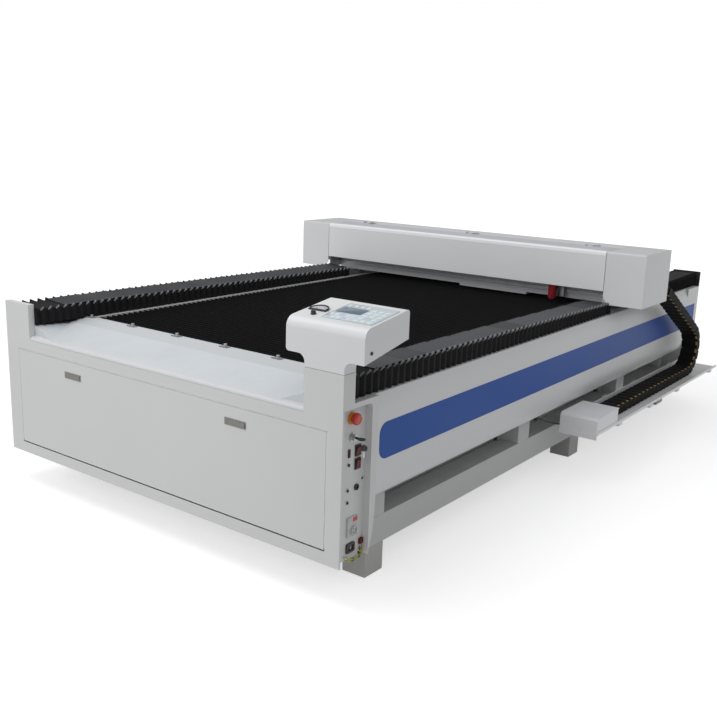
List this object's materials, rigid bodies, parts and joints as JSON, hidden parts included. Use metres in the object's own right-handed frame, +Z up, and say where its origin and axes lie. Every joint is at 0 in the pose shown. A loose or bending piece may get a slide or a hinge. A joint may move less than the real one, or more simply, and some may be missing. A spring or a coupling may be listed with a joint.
{
  "type": "flatbed laser cutting machine",
  "caption": "Flatbed laser cutter: a travelling gantry with a sliding cutting head over a blade bed, pleated way covers, front cabinet with a drop-down door, raised console and cable chain.",
  "frame": {"origin": "on the floor under the middle of the machine's box at rest", "axes": "+X to the right as seen from the front door, +Y from the front door to the rear, +Z up"},
  "size_m": [2.172, 3.503, 1.009],
  "materials": {
    "white_paint": "satin powder coat",
    "blue_paint": "semi-gloss band",
    "frame_paint": "satin grey paint",
    "dark_paint": "matt dark paint",
    "bare_steel": "ground steel",
    "blade_steel": "blackened steel",
    "cover_cloth": "coated pleated cloth",
    "black_plastic": "matt moulded plastic",
    "grey_plastic": "matt moulded plastic",
    "yellow_plastic": "moulded plastic",
    "red_plastic": "glossy moulded plastic",
    "keypad_film": "satin film",
    "dark_gloss": "glossy window",
    "plated_metal": "plated",
    "bare_aluminium": "milled aluminium",
    "red_anodised": "anodised",
    "tube_glass": "clear glass"
  },
  "bodies": {
    "base": {"lower_rails": "frame_paint", "upper_rails": "frame_paint", "uprights": "frame_paint", "cross_members": "frame_paint", "legs": "frame_paint", "front_cabinet": "white_paint", "rear_cabinet": "white_paint", "rear_stops": "dark_paint", "front_tray": "white_paint", "rear_tray": "white_paint", "side_covers": "white_paint", "stripes": "blue_paint", "inner_panels": "frame_paint", "bed_bars": "bare_steel", "bed_blades": "blade_steel", "bed_clips": "bare_steel", "scrap_tray": "dark_paint", "y_rails": "bare_steel", "front_bellows": "cover_cloth", "rear_bellows": "cover_cloth", "chain_tray": "white_paint", "tray_brackets": "white_paint", "chain_box": "white_paint", "cable_chain": "black_plastic", "console": "white_paint", "keypad": "keypad_film", "display": "dark_gloss", "meter": "dark_gloss", "estop_collar": "yellow_plastic", "key_switch": "plated_metal", "rocker_frames": "black_plastic", "sockets": "black_plastic", "breaker": "grey_plastic", "power_inlet": "black_plastic", "electrics": "bare_aluminium", "door_hinges": "bare_steel"},
    "gantry": {"gantry_beam": "bare_aluminium", "end_plates": "bare_aluminium", "gantry_cover": "white_paint", "end_cap_left": "white_paint", "end_cap_right": "white_paint", "y_carriages": "dark_paint", "x_rail": "bare_steel", "laser_tube": "tube_glass", "tube_cradles": "black_plastic", "mirrors": "bare_aluminium", "drive_motors": "dark_paint", "chain_bracket": "dark_paint", "lid_hinges": "bare_steel"},
    "lid": {"gantry_lid": "white_paint"},
    "head": {"head_carriage": "bare_aluminium"},
    "lens": {"lens_tube": "red_anodised"},
    "door": {"front_door": "white_paint", "latch_frames": "grey_plastic"},
    "left_latch": {"latch_left": "plated_metal"},
    "right_latch": {"latch_right": "plated_metal"},
    "stop_button": {"estop_button": "red_plastic"},
    "switch_key": {"key": "black_plastic"},
    "upper_rocker": {"rocker_upper": "red_plastic"},
    "lower_rocker": {"rocker_lower": "red_plastic"}
  },
  "joints": [
    {"name": "gantry_slide", "type": "slide", "parent": "base", "child": "gantry", "axis": [0, 1, 0], "range_m": [-1.8, 0.65], "deforming": ["front_bellows", "rear_bellows", "cable_chain"]},
    {"name": "head_slide", "type": "slide", "parent": "gantry", "child": "head", "axis": [1, 0, 0], "range_m": [-1.22, 0.08]},
    {"name": "focus_slide", "type": "slide", "parent": "head", "child": "lens", "axis": [0, 0, 1], "range_m": [-0.006, 0.03]},
    {"name": "lid_hinge", "type": "hinge", "parent": "gantry", "child": "lid", "pos_m": [0, 0.5815, 1.004], "axis": [-1, 0, 0], "range_deg": [0, 95]},
    {"name": "door_hinge", "type": "hinge", "parent": "base", "child": "door", "pos_m": [0, -1.7405, 0.199], "axis": [1, 0, 0], "range_deg": [0, 90]},
    {"name": "left_latch_turn", "type": "hinge", "parent": "door", "child": "left_latch", "pos_m": [-0.4165, -1.7475, 0.54], "axis": [0, 0, 1], "range_deg": [0, 35]},
    {"name": "right_latch_turn", "type": "hinge", "parent": "door", "child": "right_latch", "pos_m": [0.4795, -1.7475, 0.54], "axis": [0, 0, 1], "range_deg": [0, 35]},
    {"name": "stop_press", "type": "slide", "parent": "base", "child": "stop_button", "axis": [-1, 0, 0], "range_m": [0, 0.006]},
    {"name": "key_turn", "type": "hinge", "parent": "base", "child": "switch_key", "pos_m": [0.873, -1.6615, 0.567], "axis": [1, 0, 0], "range_deg": [0, 90]},
    {"name": "upper_rocker_tilt", "type": "hinge", "parent": "base", "child": "upper_rocker", "pos_m": [0.877, -1.6295, 0.515], "axis": [0, -1, 0], "range_deg": [0, 16]},
    {"name": "lower_rocker_tilt", "type": "hinge", "parent": "base", "child": "lower_rocker", "pos_m": [0.877, -1.6295, 0.47], "axis": [0, -1, 0], "range_deg": [0, 16]}
  ]
}
